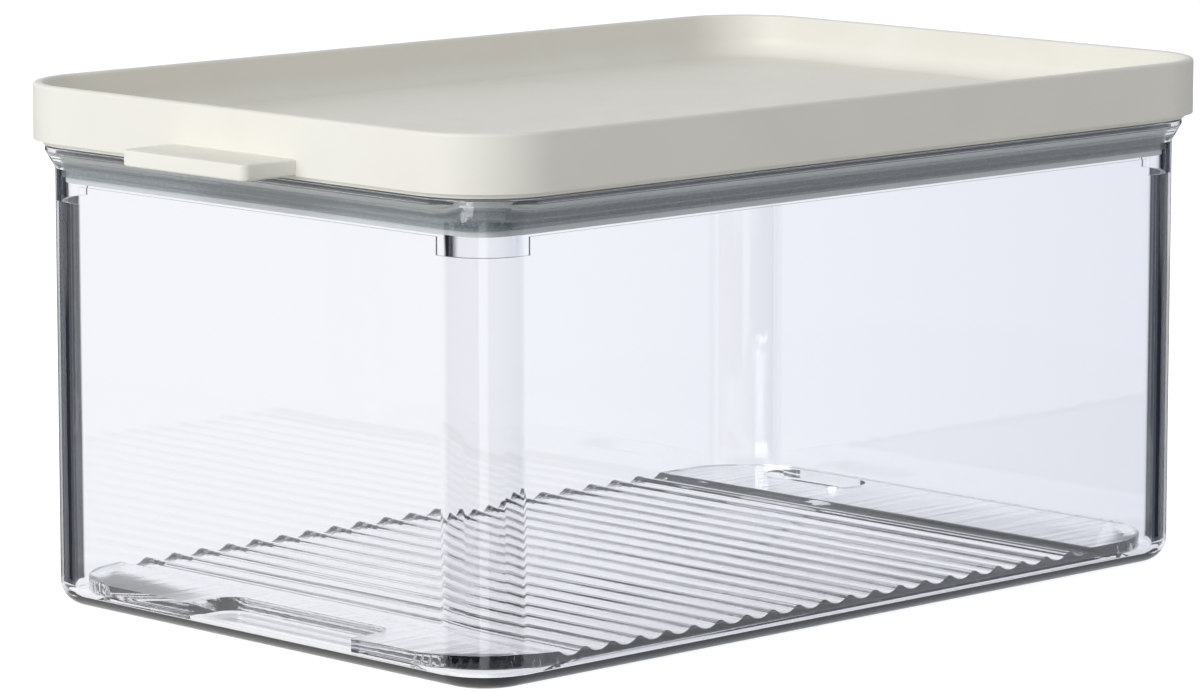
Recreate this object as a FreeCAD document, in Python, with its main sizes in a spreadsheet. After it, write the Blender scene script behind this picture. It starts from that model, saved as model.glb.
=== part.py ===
"""Food keeper for cheese: a clear box with a press-on lid, its sealing ring and a ribbed tray.

Frame: +Z up, the origin under the middle of the box on the face it stands on, and the
opening tab of the lid pointing to -X. All lengths are millimetres.
"""
import FreeCAD, Part

import math
import os

import Sketcher

SIZES = {
    # lid: a shallow tray on top, a collar over the rim of the box and a skirt inside it
    "lid_length": 225.0,
    "lid_width": 150.0,
    "lid_corner": 16.0,
    "lid_bottom": 99.7,
    "lid_height": 12.0,
    "lid_wall": 2.2,
    "lid_edge": 0.7,
    "recess_depth": 9.6,
    "recess_fillet": 4.5,
    "deck": 2.0,
    "collar_inset": 1.9,
    "collar_height": 1.0,
    "skirt_height": 8.2,
    "skirt_wall": 2.0,
    "skirt_clearance": 1.1,
    # opening tab
    "tab_reach": 14.0,
    "tab_width": 38.0,
    "tab_thickness": 3.4,
    "tab_corner": 2.0,
    "tab_edge": 0.5,
    # clear box
    "overhang": 5.5,
    "box_corner": 11.0,
    "wall": 2.2,
    "base": 3.0,
    "foot_radius": 5.0,
    "base_fillet": 1.0,
    "post_reach": 12.0,
    "post_step": 1.5,
    "post_corner": 8.5,
    "bay_corner": 1.2,
    "ledge_drop": 11.8,
    "collar_gap": 0.4,
    "lip_reach": 2.8,
    "lip_face": 1.0,
    "lip_slope": 3.8,
    "lip_edge": 0.35,
    # sealing ring in the groove of the skirt
    "seal_lift": 1.2,
    "seal_height": 5.4,
    "seal_depth": 0.9,
    "seal_slack": 0.1,
    "seal_gap": 0.2,
    "fin_height": 0.8,
    "fin_count": 3,
    # ribbed tray
    "tray_clearance": 0.5,
    "tray_seat": 0.3,
    "tray_plate": 1.6,
    "tray_corner": 20.0,
    "rib_height": 1.3,
    "rib_pitch": 7.7,
    "rib_radius": 1.8,
    "rib_count": 20,
    "rib_shift": -4.5,
    "notch_length": 50.5,
    "notch_depth": 12.0,
    "notch_corner": 4.5,
    "notch_shift": -4.0,
    "slot_length": 28.0,
    "slot_width": 11.5,
    "slot_end_flat": 0.5,
    "slot_to_end": 2.5,
    "slot_to_side": 16.8,
}

SHEET = "sizes"
# edges and points this near each other are in one place
TOUCH = 1e-4
HORIZONTAL_AXIS = -1
START, END, CENTRE = 1, 2, 3


class Size:
    """A size with the formula over the sheet that drives it."""

    def __init__(self, value, formula):
        self.value = value
        self.formula = formula

    def __add__(self, other):
        other = as_size(other)
        return Size(self.value + other.value, f"({self.formula} + {other.formula})")

    def __sub__(self, other):
        other = as_size(other)
        return Size(self.value - other.value, f"({self.formula} - {other.formula})")

    def __mul__(self, other):
        other = as_size(other)
        return Size(self.value * other.value, f"({self.formula} * {other.formula})")

    def __truediv__(self, other):
        other = as_size(other)
        return Size(self.value / other.value, f"({self.formula} / {other.formula})")


def as_size(number):
    """A plain number as a size of its own."""
    return number if isinstance(number, Size) else Size(number, str(number))


class Outline:
    """A rectangle round the origin with round corners."""

    def __init__(self, length, width, corner):
        self.length = length
        self.width = width
        self.corner = corner

    def inset(self, distance):
        """The same outline moved in by a distance, its corners kept concentric."""
        return Outline(self.length - distance * 2, self.width - distance * 2, self.corner - distance)


def make_sheet(doc):
    """The spreadsheet of driving sizes, and the sizes as values bound to it."""
    sheet = doc.addObject("Spreadsheet::Sheet", SHEET)
    sizes = {}
    for row, (name, value) in enumerate(SIZES.items(), start=1):
        sheet.set(f"A{row}", name)
        sheet.set(f"B{row}", str(value))
        sheet.setAlias(f"B{row}", name)
        sizes[name] = Size(value, f"{SHEET}.{name}")
    doc.recompute()
    return sizes


def new_body(doc, name):
    body = doc.addObject("PartDesign::Body", name)
    body.Label = name
    return body


def origin_feature(body, role):
    """One of the body's own origin planes or axes."""
    for feature in body.Origin.OriginFeatures:
        if feature.Role == role:
            return feature
    raise ValueError(f"{body.Label} has no {role}")


def new_sketch(body, name, plane="XY_Plane", at=(0, 0, 0)):
    """A sketch parallel to an origin plane, its own origin moved to a place in that plane's frame."""
    sketch = body.newObject("Sketcher::SketchObject", name)
    sketch.AttachmentSupport = (origin_feature(body, plane), [""])
    sketch.MapMode = "FlatFace"
    place = [as_size(size) for size in at]
    base = FreeCAD.Vector(*[size.value for size in place])
    sketch.AttachmentOffset = FreeCAD.Placement(base, FreeCAD.Rotation())
    for axis, size in zip("xyz", place):
        sketch.setExpression(f"AttachmentOffset.Base.{axis}", size.formula)
    return sketch


def dimension(sketch, name, size, kind, *where):
    """A named dimension of a sketch, driven by the sheet."""
    index = sketch.addConstraint(Sketcher.Constraint(kind, *where, size.value))
    sketch.renameConstraint(index, name)
    sketch.setExpression(f"Constraints.{name}", size.formula)


def quarter_turns():
    """The four directions of travel round an outline, each with the outward normal."""
    directions = [(1, 0), (0, 1), (-1, 0), (0, -1)]
    return [(ux, uy, uy, -ux) for ux, uy in directions]


def draw_sides(sketch, outline):
    """The four straight sides of an outline, anticlockwise from the one at the bottom."""
    half_length = outline.length.value / 2
    half_width = outline.width.value / 2
    cut = outline.corner.value
    sides = []
    for ux, uy, nx, ny in quarter_turns():
        run = (half_length if ux else half_width) - cut
        stand = half_width if ux else half_length
        start = FreeCAD.Vector(nx * stand - ux * run, ny * stand - uy * run, 0)
        end = FreeCAD.Vector(nx * stand + ux * run, ny * stand + uy * run, 0)
        sides.append(sketch.addGeometry(Part.LineSegment(start, end), False))
    return sides


def draw_corners(sketch, outline, sides, tag):
    """Quarter circles tangent to the sides, all of one radius."""
    half_length = outline.length.value / 2
    half_width = outline.width.value / 2
    radius = outline.corner.value
    corners = []
    for quarter, (ux, uy, nx, ny) in enumerate(quarter_turns()):
        centre = FreeCAD.Vector((ux + nx) * (half_length - radius), (uy + ny) * (half_width - radius), 0)
        circle = Part.Circle(centre, FreeCAD.Vector(0, 0, 1), radius)
        first = (quarter - 1) * math.pi / 2
        corners.append(sketch.addGeometry(Part.ArcOfCircle(circle, first, first + math.pi / 2), False))
    for quarter, corner in enumerate(corners):
        following = sides[(quarter + 1) % 4]
        sketch.addConstraint(Sketcher.Constraint("Tangent", sides[quarter], END, corner, START))
        sketch.addConstraint(Sketcher.Constraint("Tangent", corner, END, following, START))
        if quarter:
            sketch.addConstraint(Sketcher.Constraint("Equal", corners[0], corner))
        level = "Horizontal" if quarter % 2 == 0 else "Vertical"
        sketch.addConstraint(Sketcher.Constraint(level, sides[quarter]))
    middle = (HORIZONTAL_AXIS, START)
    sketch.addConstraint(Sketcher.Constraint("Symmetric", corners[0], CENTRE, corners[2], CENTRE, *middle))
    dimension(sketch, f"{tag}_corner", outline.corner, "Radius", corners[0])


def draw_outline(sketch, outline, tag="outer"):
    """A closed outline round the origin of the sketch."""
    sides = draw_sides(sketch, outline)
    draw_corners(sketch, outline, sides, tag)
    dimension(sketch, f"{tag}_length", outline.length, "DistanceX", sides[3], START, sides[1], START)
    dimension(sketch, f"{tag}_width", outline.width, "DistanceY", sides[0], START, sides[2], START)


def outline_sketch(body, name, outlines, at=(0, 0, 0)):
    """A level sketch of one outline, or of an outer and an inner one."""
    sketch = new_sketch(body, name, at=at)
    for tag, outline in zip(("outer", "inner"), outlines):
        draw_outline(sketch, outline, tag)
    return sketch


def extrude(body, kind, name, sketch, length, upward=True):
    """A Pad or Pocket of a sketch, straight up or straight down."""
    feature = body.newObject(f"PartDesign::{kind}", name)
    feature.Profile = sketch
    feature.setExpression("Length", length.formula)
    # a pad leaves its sketch along the normal, a pocket against it
    feature.Reversed = upward != (kind == "Pad")
    body.Document.recompute()
    return feature


def pad(body, name, outlines, bottom, height, middle=(0, 0)):
    sketch = outline_sketch(body, f"{name}_sketch", outlines, (*middle, bottom))
    return extrude(body, "Pad", name, sketch, height)


def pocket(body, name, outlines, top, depth, middle=(0, 0)):
    sketch = outline_sketch(body, f"{name}_sketch", outlines, (*middle, top))
    return extrude(body, "Pocket", name, sketch, depth, upward=False)


def edges_where(shape, wanted):
    """Names of the edges whose bounding boxes pass a test."""
    return [f"Edge{n}" for n, edge in enumerate(shape.Edges, start=1) if wanted(edge.BoundBox)]


def level_at(height):
    """Test for edges that lie in one level plane."""
    return lambda box: abs(box.ZMin - height.value) < TOUCH and abs(box.ZMax - height.value) < TOUCH


def fillet(body, name, radius, wanted):
    """Round the edges of the body's tip that pass a test."""
    base = body.Tip
    feature = body.newObject("PartDesign::Fillet", name)
    feature.Base = (base, edges_where(base.Shape, wanted))
    feature.setExpression("Radius", radius.formula)
    body.Document.recompute()
    return feature


def repeat(body, name, feature, axis, length, count):
    """A row of copies of a feature along an origin axis."""
    pattern = body.newObject("PartDesign::LinearPattern", name)
    pattern.Originals = [feature]
    pattern.Direction = (origin_feature(body, axis), [""])
    pattern.setExpression("Length", length.formula)
    pattern.setExpression("Occurrences", count.formula)
    body.Tip = pattern
    body.Document.recompute()
    return pattern


def make_box(doc, s, plan, levels):
    """The clear box: thick corners up to a ledge, thin corners above it and a flared lip."""
    body = new_body(doc, "box")
    ground = as_size(0)
    pad(body, "block", [plan["box"]], ground, levels["rim"])
    fillet(body, "foot", s["foot_radius"], level_at(ground))

    foot = levels["rim"] - s["lip_face"] - s["lip_slope"]
    flare = body.newObject("PartDesign::AdditiveLoft", "lip_slope")
    flare.Profile = outline_sketch(body, "lip_foot", [plan["box"]], (0, 0, foot))
    flare.Sections = [outline_sketch(body, "lip_crest", [plan["lip"]], (0, 0, foot + s["lip_slope"]))]
    flare.Ruled = True
    doc.recompute()
    pad(body, "lip_face", [plan["lip"]], foot + s["lip_slope"], s["lip_face"])

    pocket(body, "throat", [plan["inside"]], levels["rim"], s["ledge_drop"])
    ledge = levels["rim"] - s["ledge_drop"]
    # the bays between the corner posts go deeper into the walls than the cavity
    for name in ("cavity", "end_bay", "side_bay"):
        pocket(body, name, [plan[name]], ledge, ledge - s["base"])
    fillet(body, "base_fillet", s["base_fillet"], level_at(s["base"]))
    fillet(body, "lip_edge", s["lip_edge"], level_at(levels["rim"]))
    return body


def make_lid(doc, s, plan, levels):
    """The lid: a stacking recess on top, the tab, and under it the collar and the grooved skirt."""
    body = new_body(doc, "lid")
    pad(body, "cap", [plan["lid"]], s["lid_bottom"], s["lid_height"])

    # the root of the tab is as deep as the wall of the lid
    tab = Outline(s["tab_reach"] + s["lid_wall"], s["tab_width"], s["tab_corner"])
    tab_middle = (s["lid_wall"] - s["tab_reach"] - s["lid_length"]) / 2
    pad(body, "tab", [tab], s["lid_bottom"], s["tab_thickness"], (tab_middle, 0))

    pad(body, "collar", [plan["collar"]], levels["collar"], s["collar_height"])
    pad(body, "skirt", [plan["skirt"]], levels["skirt"], s["skirt_height"])
    underside = s["lid_bottom"] + s["lid_height"] - s["recess_depth"] - s["deck"]
    pocket(body, "hollow", [plan["skirt"].inset(s["skirt_wall"])], underside, underside - levels["skirt"])

    # the groove's outline is cut from past the face of the skirt
    groove = [plan["skirt"].inset(s["seal_depth"] * -1), plan["skirt"].inset(s["seal_depth"])]
    pocket(body, "groove", groove, levels["seal"] + s["seal_height"], s["seal_height"])

    top = s["lid_bottom"] + s["lid_height"]
    pocket(body, "recess", [plan["lid"].inset(s["lid_wall"])], top, s["recess_depth"])
    recess_floor = top - s["recess_depth"]
    fillet(body, "recess_fillet", s["recess_fillet"], level_at(recess_floor))
    fillet(body, "lid_edge", s["lid_edge"], level_at(top))

    wall = -(s["lid_length"].value / 2)

    def tab_rim(box):
        return box.XMax < wall - TOUCH and box.ZLength < TOUCH

    fillet(body, "tab_edge", s["tab_edge"], tab_rim)
    return body


def make_seal(doc, s, plan, levels):
    """The soft ring in the groove of the skirt, with fins that reach out to the wall."""
    body = new_body(doc, "seal")
    bed = plan["skirt"].inset(s["seal_depth"] - s["seal_slack"])
    bottom = levels["seal"] + s["seal_slack"]
    height = s["seal_height"] - s["seal_slack"] * 2
    pad(body, "band", [plan["skirt"], bed], bottom, height)
    fin = pad(body, "fin", [plan["inside"].inset(s["seal_gap"]), bed], bottom, s["fin_height"])
    repeat(body, "fins", fin, "Z_Axis", height - s["fin_height"], s["fin_count"])
    return body


def draw_valley(sketch, s):
    """The dip between two ribs, from crest to crest: two crest arcs and a wider arc between them."""
    pitch = s["rib_pitch"]
    height = s["rib_height"]
    crest = s["rib_radius"]
    # two arcs that meet tangentially between crest and dip have this sum of radii
    dip = pitch * pitch / 8 / height + height / 2 - crest
    turn = 2 * math.atan(2 * height.value / pitch.value)
    up = FreeCAD.Vector(0, 0, 1)
    overhead = math.pi / 2
    left = Part.Circle(FreeCAD.Vector(0, -crest.value, 0), up, crest.value)
    right = Part.Circle(FreeCAD.Vector(pitch.value, -crest.value, 0), up, crest.value)
    low = Part.Circle(FreeCAD.Vector(pitch.value / 2, dip.value - height.value, 0), up, dip.value)
    falling = sketch.addGeometry(Part.ArcOfCircle(left, overhead - turn, overhead), False)
    bottom = sketch.addGeometry(Part.ArcOfCircle(low, -overhead - turn, -overhead + turn), False)
    rising = sketch.addGeometry(Part.ArcOfCircle(right, overhead, overhead + turn), False)
    ends = (FreeCAD.Vector(pitch.value, 0, 0), FreeCAD.Vector(0, 0, 0))
    top = sketch.addGeometry(Part.LineSegment(*ends), False)
    for rule in (
        ("Tangent", falling, START, bottom, START),
        ("Tangent", bottom, END, rising, END),
        ("Coincident", rising, START, top, START),
        ("Coincident", falling, END, top, END),
        ("Coincident", top, END, HORIZONTAL_AXIS, START),
        ("Horizontal", top),
        ("Vertical", falling, CENTRE, falling, END),
        ("Vertical", rising, CENTRE, rising, START),
        ("Equal", falling, rising),
    ):
        sketch.addConstraint(Sketcher.Constraint(*rule))
    dimension(sketch, "pitch", pitch, "DistanceX", top, END, top, START)
    dimension(sketch, "crest", crest, "Radius", falling)
    dimension(sketch, "dip", dip, "Radius", bottom)


def make_tray(doc, s, plan, levels):
    """The ribbed tray on the base of the box, with a finger notch in one end and a slot by the other."""
    body = new_body(doc, "tray")
    outline = plan["tray"]
    bottom = s["base"] + s["tray_seat"]
    thickness = s["tray_plate"] + s["rib_height"]
    top = bottom + thickness
    pad(body, "plate", [outline], bottom, thickness)

    # rib_count ribs stand between one dip more
    field = s["rib_pitch"] * (s["rib_count"] + 1)
    valley = new_sketch(body, "valley_sketch", "XZ_Plane", (s["rib_shift"] - field / 2, top, 0))
    draw_valley(valley, s)
    dip = body.newObject("PartDesign::Pocket", "valley")
    dip.Profile = valley
    dip.Type = "ThroughAll"
    dip.Midplane = True
    doc.recompute()
    repeat(body, "valleys", dip, "X_Axis", s["rib_pitch"] * s["rib_count"], s["rib_count"] + 1)

    # half of the notch's outline lies past the end of the tray
    notch = Outline(s["notch_depth"] * 2, s["notch_length"], s["notch_corner"])
    pocket(body, "notch", [notch], top, thickness, (outline.length / -2, s["notch_shift"]))

    slot = Outline(s["slot_width"], s["slot_length"], (s["slot_width"] - s["slot_end_flat"]) / 2)
    slot_x = (outline.length - s["slot_width"]) / 2 - s["slot_to_end"]
    slot_y = (outline.width - s["slot_length"]) / 2 - s["slot_to_side"]
    pocket(body, "slot", [slot], top, thickness, (slot_x, slot_y))
    return body


def check(doc, bodies):
    """Stop if any object failed or any shape is not one valid solid."""
    for thing in doc.Objects:
        failed = [state for state in thing.State if state in ("Invalid", "Error")]
        if failed:
            raise RuntimeError(f"{thing.Label}: {failed}")
    for body in bodies:
        shape = body.Shape
        if shape.isNull() or not shape.isValid() or len(shape.Solids) != 1:
            raise RuntimeError(f"{body.Label} is not one valid solid")


def main():
    os.makedirs("parts", exist_ok=True)
    doc = FreeCAD.newDocument("cheese_keeper")
    s = make_sheet(doc)

    lid = Outline(s["lid_length"], s["lid_width"], s["lid_corner"])
    around = lid.inset(s["overhang"])
    box = Outline(around.length, around.width, s["box_corner"])
    inside = box.inset(s["wall"])
    between = s["post_reach"] * 2
    slack = s["tray_clearance"] * 2
    cavity = inside.inset(s["post_step"])
    plan = {
        "lid": lid,
        "collar": lid.inset(s["collar_inset"]),
        "box": box,
        "lip": box.inset(s["lip_reach"] * -1),
        "inside": inside,
        "cavity": Outline(cavity.length, cavity.width, s["post_corner"]),
        "end_bay": Outline(inside.length, inside.width - between, s["bay_corner"]),
        "side_bay": Outline(inside.length - between, inside.width, s["bay_corner"]),
        "tray": Outline(inside.length - slack, inside.width - slack, s["tray_corner"]),
        "skirt": inside.inset(s["skirt_clearance"]),
    }
    levels = {"collar": s["lid_bottom"] - s["collar_height"]}
    levels["rim"] = levels["collar"] - s["collar_gap"]
    levels["skirt"] = levels["collar"] - s["skirt_height"]
    levels["seal"] = levels["skirt"] + s["seal_lift"]

    makers = (make_box, make_lid, make_seal, make_tray)
    bodies = [make(doc, s, plan, levels) for make in makers]
    doc.recompute()
    check(doc, bodies)
    for body in bodies:
        body.Shape.exportStep(f"parts/{body.Label}.step")
        print(body.Label, round(body.Shape.Volume), body.Shape.BoundBox)


main()
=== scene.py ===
"""Looks of the cheese keeper: clear box, press-on lid, sealing ring and ribbed tray.

Metres, +Z up, in the frame of the CAD model. The opening tab of the lid points to -X.
"""

import math

import bmesh
import bpy
from mathutils import Euler, Matrix, Vector


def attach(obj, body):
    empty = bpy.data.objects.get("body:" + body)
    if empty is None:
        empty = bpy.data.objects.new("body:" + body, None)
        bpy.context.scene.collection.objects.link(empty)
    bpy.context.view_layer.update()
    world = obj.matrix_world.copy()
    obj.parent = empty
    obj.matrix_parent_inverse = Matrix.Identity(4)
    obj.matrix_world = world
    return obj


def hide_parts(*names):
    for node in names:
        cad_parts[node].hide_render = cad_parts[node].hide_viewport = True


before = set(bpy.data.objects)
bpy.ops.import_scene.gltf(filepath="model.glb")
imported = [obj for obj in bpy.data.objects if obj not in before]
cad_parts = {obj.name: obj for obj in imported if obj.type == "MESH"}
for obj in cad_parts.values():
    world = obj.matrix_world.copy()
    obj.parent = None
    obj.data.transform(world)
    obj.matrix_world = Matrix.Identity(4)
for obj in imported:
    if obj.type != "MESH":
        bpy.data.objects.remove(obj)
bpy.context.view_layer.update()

MM = 0.001
# points this near each other are in one place
TOUCH = 0.002 * MM

# outlines are length, width and corner radius; levels go up from the shelf
BOX = (214.0 * MM, 139.0 * MM, 12.0 * MM)
LIP = (219.6 * MM, 144.6 * MM, 16.5 * MM)
THROAT = (209.6 * MM, 134.6 * MM, 8.8 * MM)
CAVITY = (208.8 * MM, 133.8 * MM, 10.0 * MM)
FOOT_RADIUS = 5.0 * MM
BASE = 3.0 * MM
BASE_FILLET = 1.6 * MM
LEDGE = 86.5 * MM
SHOULDER = 90.2 * MM
LIP_FOOT = 93.5 * MM
LIP_CREST = 97.3 * MM
RIM = 98.3 * MM
RIM_EDGE = 0.3 * MM
# the corners are cut back above the ledge this far along each wall
RECESS_X = 92.8 * MM
RECESS_Y = 55.3 * MM

LID = (225.0 * MM, 150.0 * MM, 20.0 * MM)
TRAY_TOP = (220.6 * MM, 145.6 * MM, 17.8 * MM)
COLLAR = (221.2 * MM, 146.2 * MM, 18.1 * MM)
SKIRT = (207.4 * MM, 132.4 * MM, 7.7 * MM)
GROOVE = (205.6 * MM, 130.6 * MM, 6.8 * MM)
HOLLOW = (203.4 * MM, 128.4 * MM, 5.7 * MM)
SKIRT_FOOT = 90.5 * MM
GROOVE_FOOT = 91.7 * MM
GROOVE_TOP = 97.1 * MM
COLLAR_FOOT = 98.7 * MM
LID_FOOT = 99.7 * MM
DECK_FOOT = 100.1 * MM
DECK_TOP = 102.1 * MM
LID_TOP = 111.7 * MM
DECK_FILLET = 4.5 * MM
LID_EDGE = 0.7 * MM
TAB_SIDES = (-21.4 * MM, 16.6 * MM)
TAB_TOP = 103.1 * MM
TAB_REACH = 14.0 * MM
TAB_CORNER = 2.0 * MM
TAB_EDGE = 0.5 * MM

CORNER_STEPS = 16
# edges between flatter faces than this shade smoothly
CREASE = 30.0

CAMERA_LENS = 174.8
CAMERA_PLACE = (-0.8720, -0.8907, 0.2403)
CAMERA_DOWN = 8.617
CAMERA_TURN = -44.15
# the light of the room on matt surfaces, and the light that lifts the floor to white
ROOM_LIGHT = 0.48
FLOOR_LIFT = 0.72


def linear(colour):
    """The linear RGBA of an sRGB hex colour such as "#d8d5cc"."""
    channels = [int(colour[i:i + 2], 16) / 255 for i in (1, 3, 5)]
    light = [c / 12.92 if c <= 0.04045 else ((c + 0.055) / 1.055) ** 2.4 for c in channels]
    return (*light, 1.0)


def add_node(tree, kind, settings=None, inputs=None):
    """One node with its settings, and its inputs set or linked."""
    node = tree.nodes.new(kind)
    for name, value in (settings or {}).items():
        setattr(node, name, value)
    for name, value in (inputs or {}).items():
        if isinstance(value, bpy.types.NodeSocket):
            tree.links.new(value, node.inputs[name])
        else:
            node.inputs[name].default_value = value
    return node


def set_ramp(ramp, stops):
    """Gives a colour ramp its stops, each a place and a linear colour."""
    steps = ramp.color_ramp.elements
    while len(steps) < len(stops):
        steps.new(1.0)
    for step, (place, colour) in zip(steps, stops):
        step.position = place
        step.color = colour


def new_material(name):
    """An empty node material: the material, its tree and its output node."""
    material = bpy.data.materials.new(name)
    material.use_nodes = True
    tree = material.node_tree
    tree.nodes.clear()
    return material, tree, add_node(tree, "ShaderNodeOutputMaterial")


# ---------------------------------------------------------------- finishes


def let_lamps_through(tree, shader, tint):
    """Clear plastic as it is seen, and thin tinted film for the light that falls through it."""
    path = add_node(tree, "ShaderNodeLightPath")
    passing = add_node(tree, "ShaderNodeMath", {"operation": "MAXIMUM"},
                       {0: path.outputs["Is Shadow Ray"], 1: path.outputs["Is Diffuse Ray"]})
    film = add_node(tree, "ShaderNodeBsdfTransparent", {}, {"Color": linear(tint)})
    mixed = add_node(tree, "ShaderNodeMixShader", {},
                     {0: passing.outputs[0], 1: shader.outputs[0], 2: film.outputs[0]})
    return mixed.outputs[0]


def clear_san():
    """SAN out of a polished mould: clear as glass, faintly blue in the thick of it.

    The eye sees slow waves where the plastic flowed and a few hairline scuffs from washing.
    """
    material, tree, output = new_material("clear SAN, polished mould")
    place = add_node(tree, "ShaderNodeTexCoord").outputs["Object"]
    # flow waves about 28 mm long
    waves = add_node(tree, "ShaderNodeTexNoise", {}, {
        "Vector": place, "Scale": 1 / (28 * MM), "Detail": 1.5, "Roughness": 0.4})
    wavy = add_node(tree, "ShaderNodeBump", {}, {
        "Strength": 1.0, "Distance": 0.03 * MM, "Height": waves.outputs["Fac"]})
    # scuffs 0.6 mm wide and some 20 mm long, level round the box where a cloth rubs it
    along = add_node(tree, "ShaderNodeMapping", {}, {
        "Vector": place, "Scale": (1 / (20 * MM), 1 / (20 * MM), 1 / (0.6 * MM))})
    hairs = add_node(tree, "ShaderNodeTexNoise", {}, {
        "Vector": along.outputs[0], "Scale": 1.0, "Detail": 2.0, "Roughness": 0.6})
    scuffs = add_node(tree, "ShaderNodeMapRange", {}, {
        "Value": hairs.outputs["Fac"], "From Min": 0.62, "From Max": 0.8,
        "To Min": 0.0, "To Max": 0.05})
    shader = add_node(tree, "ShaderNodeBsdfPrincipled", {}, {
        "Base Color": linear("#fafbfe"),
        "Roughness": scuffs.outputs["Result"],
        "IOR": 1.57,
        "Transmission Weight": 1.0,
        "Normal": wavy.outputs["Normal"],
    })
    tree.links.new(let_lamps_through(tree, shader, "#eef1f6"), output.inputs["Surface"])
    return material


def clear_tray_plastic():
    """Clear polystyrene out of a plain mould: a little hazier than the box, with flow lines."""
    material, tree, output = new_material("clear polystyrene, ribbed moulding")
    place = add_node(tree, "ShaderNodeTexCoord").outputs["Object"]
    # haze in clouds of 9 mm
    clouds = add_node(tree, "ShaderNodeTexNoise", {}, {
        "Vector": place, "Scale": 1 / (9 * MM), "Detail": 3.0, "Roughness": 0.5})
    haze = add_node(tree, "ShaderNodeMapRange", {}, {
        "Value": clouds.outputs["Fac"], "From Min": 0.3, "From Max": 0.7,
        "To Min": 0.02, "To Max": 0.08})
    # flow lines across the ribs, 3 mm apart
    across = add_node(tree, "ShaderNodeMapping", {}, {
        "Vector": place, "Scale": (1 / (40 * MM), 1 / (3 * MM), 1 / (20 * MM))})
    lines = add_node(tree, "ShaderNodeTexNoise", {}, {
        "Vector": across.outputs[0], "Scale": 1.0, "Detail": 2.0, "Roughness": 0.5})
    wavy = add_node(tree, "ShaderNodeBump", {}, {
        "Strength": 1.0, "Distance": 0.03 * MM, "Height": lines.outputs["Fac"]})
    shader = add_node(tree, "ShaderNodeBsdfPrincipled", {}, {
        "Base Color": linear("#fdfdfe"),
        "Roughness": haze.outputs["Result"],
        "IOR": 1.5,
        "Transmission Weight": 1.0,
        "Normal": wavy.outputs["Normal"],
    })
    tree.links.new(let_lamps_through(tree, shader, "#f4f6fa"), output.inputs["Surface"])
    return material


def moulded_pp():
    """Off-white polypropylene with a fine spark-eroded grain: satin, warm, never quite even."""
    material, tree, output = new_material("off-white PP, fine satin grain")
    place = add_node(tree, "ShaderNodeTexCoord").outputs["Object"]
    # the colour drifts over some 35 mm
    drift = add_node(tree, "ShaderNodeTexNoise", {}, {
        "Vector": place, "Scale": 1 / (35 * MM), "Detail": 3.0, "Roughness": 0.55})
    tone = add_node(tree, "ShaderNodeValToRGB", {}, {"Fac": drift.outputs["Fac"]})
    set_ramp(tone, [(0.3, linear("#ebe9e0")), (0.7, linear("#f0efe7"))])
    # satin patches of 6 mm
    patches = add_node(tree, "ShaderNodeTexNoise", {}, {
        "Vector": place, "Scale": 1 / (6 * MM), "Detail": 2.0, "Roughness": 0.5})
    satin = add_node(tree, "ShaderNodeMapRange", {}, {
        "Value": patches.outputs["Fac"], "From Min": 0.3, "From Max": 0.7,
        "To Min": 0.36, "To Max": 0.46})
    # the grain of 0.1 mm is drawn at 0.7 mm, the finest that shows
    grain = add_node(tree, "ShaderNodeTexNoise", {}, {
        "Vector": place, "Scale": 1 / (0.7 * MM), "Detail": 2.0, "Roughness": 0.6})
    rough = add_node(tree, "ShaderNodeBump", {}, {
        "Strength": 0.6, "Distance": 0.02 * MM, "Height": grain.outputs["Fac"]})
    shader = add_node(tree, "ShaderNodeBsdfPrincipled", {}, {
        "Base Color": tone.outputs["Color"],
        "Roughness": satin.outputs["Result"],
        "IOR": 1.49,
        "Normal": rough.outputs["Normal"],
    })
    tree.links.new(shader.outputs[0], output.inputs["Surface"])
    return material


def soft_silicone():
    """Milky silicone: matt, a little see-through at its fins, with specks of lint. Its greys are painted
    darker than the silicone itself, as painted shade from under the lid.
    """
    material, tree, output = new_material("milky silicone, matt, grey painted in for shade")
    place = add_node(tree, "ShaderNodeTexCoord").outputs["Object"]
    # lint specks of 0.8 mm
    lint = add_node(tree, "ShaderNodeTexNoise", {}, {
        "Vector": place, "Scale": 1 / (0.8 * MM), "Detail": 2.0, "Roughness": 0.7})
    tone = add_node(tree, "ShaderNodeValToRGB", {}, {"Fac": lint.outputs["Fac"]})
    # the two grey stops are painted shade, darker than the silicone; the light stop is lint
    set_ramp(tone, [(0.35, linear("#8b918f")), (0.62, linear("#969c9a")), (0.75, linear("#b3b8b6"))])
    skin = add_node(tree, "ShaderNodeBump", {}, {
        "Strength": 0.5, "Distance": 0.03 * MM, "Height": lint.outputs["Fac"]})
    shader = add_node(tree, "ShaderNodeBsdfPrincipled", {}, {
        "Base Color": tone.outputs["Color"],
        "Roughness": 0.55,
        "IOR": 1.41,
        "Normal": skin.outputs["Normal"],
    })
    tree.links.new(shader.outputs[0], output.inputs["Surface"])
    return material


# ---------------------------------------------------------------- pieces


def level_edges(skin, height):
    """The edges that lie flat at a height."""
    return [edge for edge in skin.edges if all(abs(v.co.z - height) < TOUCH for v in edge.verts)]


def round_edges(skin, edges, radius, segments):
    """Rounds edges with a true arc."""
    bmesh.ops.bevel(skin, geom=edges, offset=radius, offset_type="OFFSET", segments=segments,
                    profile=0.5, affect="EDGES", material=-1)


def draw_out(skin, faces, way):
    """Extrudes faces: the faces at the far end and their vertices."""
    made = bmesh.ops.extrude_face_region(skin, geom=faces)["geom"]
    verts = [item for item in made if isinstance(item, bmesh.types.BMVert)]
    ends = [item for item in made if isinstance(item, bmesh.types.BMFace)]
    bmesh.ops.delete(skin, geom=faces, context="FACES")
    bmesh.ops.translate(skin, verts=verts, vec=way)
    return ends, verts


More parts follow.
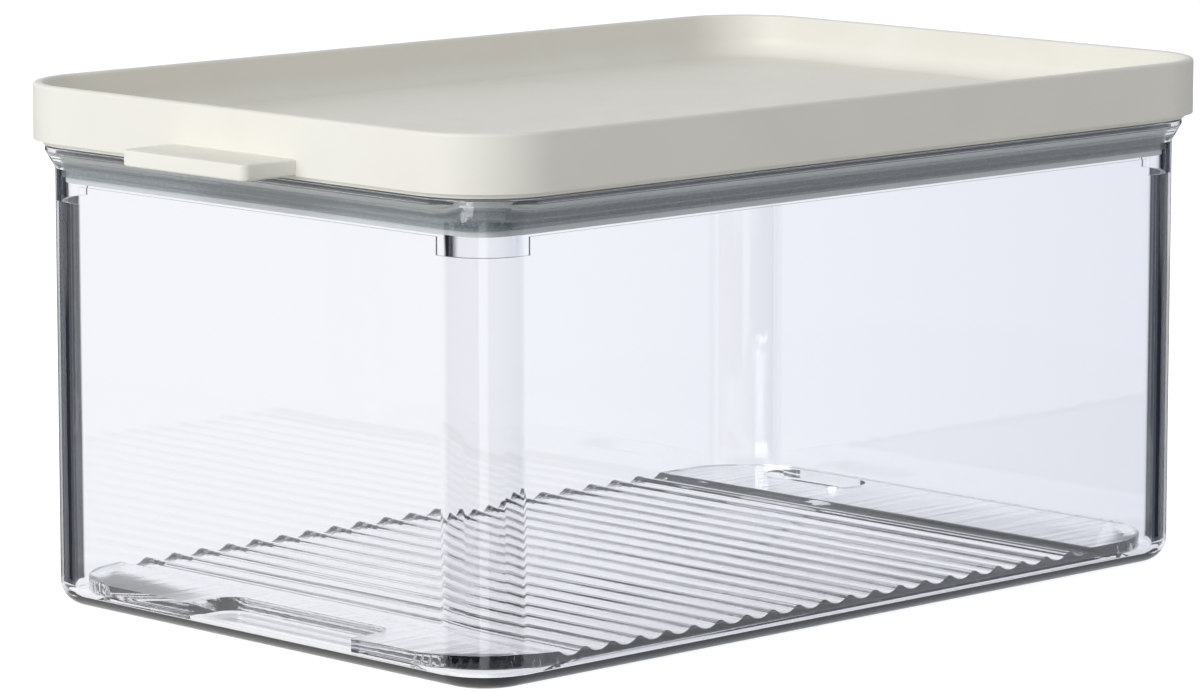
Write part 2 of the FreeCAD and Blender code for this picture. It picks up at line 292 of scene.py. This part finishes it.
def reshape(skin, verts, old, new):
    """Gives a level outline a new length, width and corner radius, one corner at a time."""
    size = new[2] / old[2]
    for sx in (-1, 1):
        for sy in (-1, 1):
            corner = [v for v in verts if v.co.x * sx > 0 and v.co.y * sy > 0]
            was = Vector((sx * (old[0] / 2 - old[2]), sy * (old[1] / 2 - old[2]), 0.0))
            now = Vector((sx * (new[0] / 2 - new[2]), sy * (new[1] / 2 - new[2]), 0.0))
            bmesh.ops.scale(skin, verts=corner, vec=(size, size, 1.0), space=Matrix.Translation(-was))
            bmesh.ops.translate(skin, verts=corner, vec=now - was)


def step(skin, end, old, new, rise=0.0):
    """Draws the end face of a wall up or down to a new outline: the new end face."""
    end, verts = draw_out(skin, end, (0.0, 0.0, rise))
    if new != old:
        reshape(skin, verts, old, new)
    return end


def start_block(outline, foot, top):
    """A block with round upright corners."""
    skin = bmesh.new()
    bmesh.ops.create_cube(skin, size=1.0, matrix=Matrix.Translation((0, 0, (foot + top) / 2))
                          @ Matrix.Diagonal((outline[0], outline[1], top - foot, 1.0)))
    upright = [edge for edge in skin.edges if abs(edge.verts[0].co.z - edge.verts[1].co.z) > TOUCH]
    round_edges(skin, upright, outline[2], CORNER_STEPS)
    return skin


def level_faces(skin, height):
    """The faces that lie flat at a height."""
    return [face for face in skin.faces if all(abs(v.co.z - height) < TOUCH for v in face.verts)]


def split(skin, faces, place, axis):
    """Cuts faces along a plane."""
    edges = {edge for face in faces for edge in face.edges}
    verts = {v for face in faces for v in face.verts}
    bmesh.ops.bisect_plane(skin, geom=[*faces, *edges, *verts], dist=TOUCH, plane_co=place, plane_no=axis)


def cut_corner_recesses(skin):
    """Cuts the corners of the cavity back to the throat, from the shoulder down to the ledge."""

    def between(face):
        heights = [v.co.z for v in face.verts]
        inside = all(abs(v.co.x) < THROAT[0] / 2 + TOUCH and abs(v.co.y) < THROAT[1] / 2 + TOUCH
                     for v in face.verts)
        return inside and min(heights) > LEDGE - TOUCH and max(heights) < SHOULDER + TOUCH

    def in_corner(face):
        middle = face.calc_center_median()
        return abs(middle.x) > RECESS_X and abs(middle.y) > RECESS_Y

    for axis, reach in ((Vector((1, 0, 0)), RECESS_X), (Vector((0, 1, 0)), RECESS_Y)):
        for side in (-1, 1):
            split(skin, [face for face in skin.faces if between(face)], axis * reach * side, axis)

    walls = [face for face in skin.faces
             if between(face) and in_corner(face) and face not in level_faces(skin, SHOULDER)]
    verts = draw_out(skin, walls, (0.0, 0.0, 0.0))[1]
    ends_x = [v for v in verts if abs(v.co.x) < RECESS_X + TOUCH]
    ends_y = [v for v in verts if abs(v.co.y) < RECESS_Y + TOUCH]
    cut = (THROAT[0] - CAVITY[0]) / 2
    for v in ends_x:
        bmesh.ops.translate(skin, verts=[v], vec=(0.0, math.copysign(cut, v.co.y), 0.0))
    for v in ends_y:
        bmesh.ops.translate(skin, verts=[v], vec=(math.copysign(cut, v.co.x), 0.0, 0.0))
    reshape(skin, [v for v in verts if v not in ends_x and v not in ends_y], CAVITY, THROAT)
    # the shoulder and the top of the recess meet there and go
    lids = [face for face in level_faces(skin, SHOULDER) if in_corner(face)]
    bmesh.ops.delete(skin, geom=lids, context="FACES")
    bmesh.ops.remove_doubles(skin, verts=skin.verts, dist=TOUCH)


def box_skin():
    """The clear box as one closed skin: foot, walls, flared lip, throat, corner ledges and base."""
    skin = start_block(BOX, 0.0, LIP_FOOT)
    round_edges(skin, level_edges(skin, 0.0), FOOT_RADIUS, 8)
    end = level_faces(skin, LIP_FOOT)
    end = step(skin, end, BOX, LIP, LIP_CREST - LIP_FOOT)
    end = step(skin, end, LIP, LIP, RIM - LIP_CREST)
    end = step(skin, end, LIP, THROAT)
    end = step(skin, end, THROAT, THROAT, SHOULDER - RIM)
    end = step(skin, end, THROAT, CAVITY)
    end = step(skin, end, CAVITY, CAVITY, LEDGE - SHOULDER)
    end = step(skin, end, CAVITY, CAVITY, BASE - LEDGE)
    cut_corner_recesses(skin)
    round_edges(skin, level_edges(skin, BASE), BASE_FILLET, 4)
    round_edges(skin, level_edges(skin, RIM), RIM_EDGE, 3)
    return skin


def lid_skin():
    """The lid as one closed skin: rim, recessed deck, tab, collar and grooved skirt."""
    skin = start_block(LID, LID_FOOT, LID_TOP)
    end = step(skin, level_faces(skin, LID_TOP), LID, TRAY_TOP)
    end = step(skin, end, TRAY_TOP, TRAY_TOP, DECK_TOP - LID_TOP)
    end = step(skin, level_faces(skin, LID_FOOT), LID, COLLAR)
    end = step(skin, end, COLLAR, COLLAR, COLLAR_FOOT - LID_FOOT)
    end = step(skin, end, COLLAR, SKIRT)
    end = step(skin, end, SKIRT, SKIRT, GROOVE_TOP - COLLAR_FOOT)
    end = step(skin, end, SKIRT, GROOVE)
    end = step(skin, end, GROOVE, GROOVE, GROOVE_FOOT - GROOVE_TOP)
    end = step(skin, end, GROOVE, SKIRT)
    end = step(skin, end, SKIRT, SKIRT, SKIRT_FOOT - GROOVE_FOOT)
    end = step(skin, end, SKIRT, HOLLOW)
    end = step(skin, end, HOLLOW, HOLLOW, DECK_FOOT - SKIRT_FOOT)
    round_edges(skin, level_edges(skin, DECK_TOP), DECK_FILLET, 8)
    round_edges(skin, level_edges(skin, LID_TOP), LID_EDGE, 3)

    front = -LID[0] / 2

    def on_front(face):
        return all(abs(v.co.x - front) < TOUCH for v in face.verts)

    for place, axis in ((TAB_TOP, (0, 0, 1)), (TAB_SIDES[0], (0, 1, 0)), (TAB_SIDES[1], (0, 1, 0))):
        axis = Vector(axis)
        split(skin, [face for face in skin.faces if on_front(face)], axis * place, axis)
    middle = Vector((front, sum(TAB_SIDES) / 2, (LID_FOOT + TAB_TOP) / 2))
    root = min((face for face in skin.faces if on_front(face)),
               key=lambda face: (face.calc_center_median() - middle).length)
    draw_out(skin, [root], (-TAB_REACH, 0.0, 0.0))

    def past_front(edge):
        return all(v.co.x < front - TOUCH for v in edge.verts)

    outer = [edge for edge in skin.edges if past_front(edge)
             and abs(edge.verts[0].co.z - edge.verts[1].co.z) > TOUCH]
    round_edges(skin, outer, TAB_CORNER, 6)
    rims = [edge for edge in level_edges(skin, TAB_TOP) + level_edges(skin, LID_FOOT)
            if min(v.co.x for v in edge.verts) < front - TOUCH]
    round_edges(skin, rims, TAB_EDGE, 3)
    return skin


def finish_piece(name, skin, material, node):
    """Makes a skin the visible piece for a CAD node: round parts shade smoothly, flat ones stay flat."""
    for face in skin.faces:
        face.smooth = True
    mesh = bpy.data.meshes.new(name)
    skin.to_mesh(mesh)
    skin.free()
    mesh.set_sharp_from_angle(angle=math.radians(CREASE))
    mesh.materials.append(material)
    piece = bpy.data.objects.new(name, mesh)
    bpy.context.scene.collection.objects.link(piece)
    weighted = piece.modifiers.new("flat faces stay flat", "WEIGHTED_NORMAL")
    weighted.keep_sharp = True
    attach(piece, "root")
    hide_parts(node)
    return piece


def merged_copy(node):
    """A CAD node's own shape as one joined skin."""
    skin = bmesh.new()
    skin.from_mesh(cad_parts[node].data)
    bmesh.ops.remove_doubles(skin, verts=skin.verts, dist=TOUCH)
    return skin


finish_piece("clear_box", box_skin(), clear_san(), "box")
finish_piece("press_on_lid", lid_skin(), moulded_pp(), "lid")
finish_piece("sealing_ring", merged_copy("seal"), soft_silicone(), "seal")
finish_piece("ribbed_tray", merged_copy("tray"), clear_tray_plastic(), "tray")


# ---------------------------------------------------------------- studio

scene = bpy.context.scene
scene.view_settings.view_transform = "Standard"


def add_camera():
    data = bpy.data.cameras.new("camera")
    data.lens = CAMERA_LENS
    data.sensor_width = 36.0
    data.clip_end = 20.0
    camera = bpy.data.objects.new("camera", data)
    camera.location = CAMERA_PLACE
    camera.rotation_euler = Euler((math.radians(90 - CAMERA_DOWN), 0.0, math.radians(CAMERA_TURN)))
    scene.collection.objects.link(camera)
    scene.camera = camera


def studio_world():
    """An even pale room, with slate screens for clear plastic.

    Reflections and rays through plastic see the screens, which draw its dark edges. They are made
    up for that, and leave gaps only near the diagonals. Diffuse light and the camera don't see them.
    """
    world = bpy.data.worlds.new("pale studio")
    world.use_nodes = True
    tree = world.node_tree
    tree.nodes.clear()
    path = add_node(tree, "ShaderNodeLightPath")
    direction = add_node(tree, "ShaderNodeTexCoord").outputs["Generated"]
    parts = add_node(tree, "ShaderNodeSeparateXYZ", {}, {0: direction})
    turn = add_node(tree, "ShaderNodeMath", {"operation": "ARCTAN2"},
                    {0: parts.outputs["Y"], 1: parts.outputs["X"]})
    # the angle to the nearest axis, from 0 to 1 at 45 degrees
    aside = add_node(tree, "ShaderNodeMath", {"operation": "PINGPONG"},
                     {0: turn.outputs[0], 1: math.radians(45)})
    share = add_node(tree, "ShaderNodeMath", {"operation": "DIVIDE"},
                     {0: aside.outputs[0], 1: math.radians(45)})
    screens = add_node(tree, "ShaderNodeValToRGB", {}, {"Fac": share.outputs[0]})
    white = (1.0, 1.0, 1.0, 1.0)
    set_ramp(screens, [(0.0, linear("#2a303c")), (0.3, linear("#191d25")), (0.55, linear("#353b48")),
                       (0.76, linear("#1d2129")), (0.83, white)])
    # they show only in a low strip, seen a little downwards
    strip = add_node(tree, "ShaderNodeValToRGB", {}, {"Fac": add_node(tree, "ShaderNodeMath", {
        "operation": "MULTIPLY"}, {0: parts.outputs["Z"], 1: -1.0}).outputs[0]})
    black = (0.0, 0.0, 0.0, 1.0)
    set_ramp(strip, [(0.07, black), (0.09, white), (0.205, white), (0.225, black)])
    standing = add_node(tree, "ShaderNodeMix", {"data_type": "RGBA"}, {
        "Factor": strip.outputs["Color"], "A": white, "B": screens.outputs["Color"]})
    # the room grows a little dimmer and bluer to one side
    across = add_node(tree, "ShaderNodeVectorMath", {"operation": "DOT_PRODUCT"},
                      {0: direction, 1: (0.72, -0.69, 0.0)})
    room = add_node(tree, "ShaderNodeValToRGB", {}, {"Fac": add_node(tree, "ShaderNodeMapRange", {}, {
        "Value": across.outputs["Value"], "From Min": 0.0, "From Max": 0.15}).outputs["Result"]})
    set_ramp(room, [(0.0, white), (1.0, linear("#e3e6ed"))])
    seen = add_node(tree, "ShaderNodeMix", {"data_type": "RGBA", "blend_type": "MULTIPLY"}, {
        "Factor": 1.0, "A": standing.outputs["Result"], "B": room.outputs["Color"]})
    # light on matt surfaces stays plain and even
    clear = add_node(tree, "ShaderNodeMath", {"operation": "MAXIMUM"},
                     {0: path.outputs["Is Glossy Ray"], 1: path.outputs["Is Transmission Ray"]})
    for_plastic = add_node(tree, "ShaderNodeMix", {"data_type": "RGBA"}, {
        "Factor": clear.outputs[0], "A": (ROOM_LIGHT, ROOM_LIGHT, ROOM_LIGHT, 1.0),
        "B": seen.outputs["Result"]})
    final = add_node(tree, "ShaderNodeMix", {"data_type": "RGBA"}, {
        "Factor": path.outputs["Is Camera Ray"], "A": for_plastic.outputs["Result"], "B": white})
    glow = add_node(tree, "ShaderNodeBackground", {}, {"Color": final.outputs["Result"], "Strength": 1.0})
    add_node(tree, "ShaderNodeOutputWorld", {}, {"Surface": glow.outputs[0]})
    scene.world = world


def pale_floor():
    """A white sweep that keeps the soft shadow of the object; clear plastic looks on past it."""
    mesh = bpy.data.meshes.new("floor")
    sheet = bmesh.new()
    bmesh.ops.create_grid(sheet, x_segments=1, y_segments=1, size=3.0,
                          matrix=Matrix.Translation((0, 0, -0.2 * MM)))
    sheet.to_mesh(mesh)
    sheet.free()
    floor = bpy.data.objects.new("floor", mesh)
    scene.collection.objects.link(floor)
    material, tree, output = new_material("white paper sweep")
    path = add_node(tree, "ShaderNodeLightPath")
    paper = add_node(tree, "ShaderNodeBsdfDiffuse", {}, {"Color": (0.8, 0.8, 0.8, 1.0)})
    lift = add_node(tree, "ShaderNodeMath", {"operation": "MULTIPLY"},
                    {0: path.outputs["Is Camera Ray"], 1: FLOOR_LIFT})
    glow = add_node(tree, "ShaderNodeEmission", {}, {"Strength": lift.outputs[0]})
    lit = add_node(tree, "ShaderNodeAddShader", {}, {0: paper.outputs[0], 1: glow.outputs[0]})
    clear = add_node(tree, "ShaderNodeMath", {"operation": "MAXIMUM"},
                     {0: path.outputs["Is Glossy Ray"], 1: path.outputs["Is Transmission Ray"]})
    open_air = add_node(tree, "ShaderNodeBsdfTransparent")
    mixed = add_node(tree, "ShaderNodeMixShader", {},
                     {0: clear.outputs[0], 1: lit.outputs[0], 2: open_air.outputs[0]})
    tree.links.new(mixed.outputs[0], output.inputs["Surface"])
    mesh.materials.append(material)


def softbox(name, azimuth, elevation, distance, size, energy):
    """A rectangular lamp that looks at the object from a direction in degrees."""
    data = bpy.data.lights.new(name, "AREA")
    data.shape = "RECTANGLE"
    data.size, data.size_y = size
    data.energy = energy
    lamp = bpy.data.objects.new(name, data)
    a = math.radians(azimuth)
    e = math.radians(elevation)
    lamp.location = Vector((math.cos(a) * math.cos(e), math.sin(a) * math.cos(e), math.sin(e))) * distance
    lamp.rotation_euler = (-lamp.location).to_track_quat("-Z", "Y").to_euler()
    scene.collection.objects.link(lamp)


add_camera()
studio_world()
pale_floor()
softbox("softbox at the tab end", 180, 20, 3.0, (2.0, 1.6), 48)
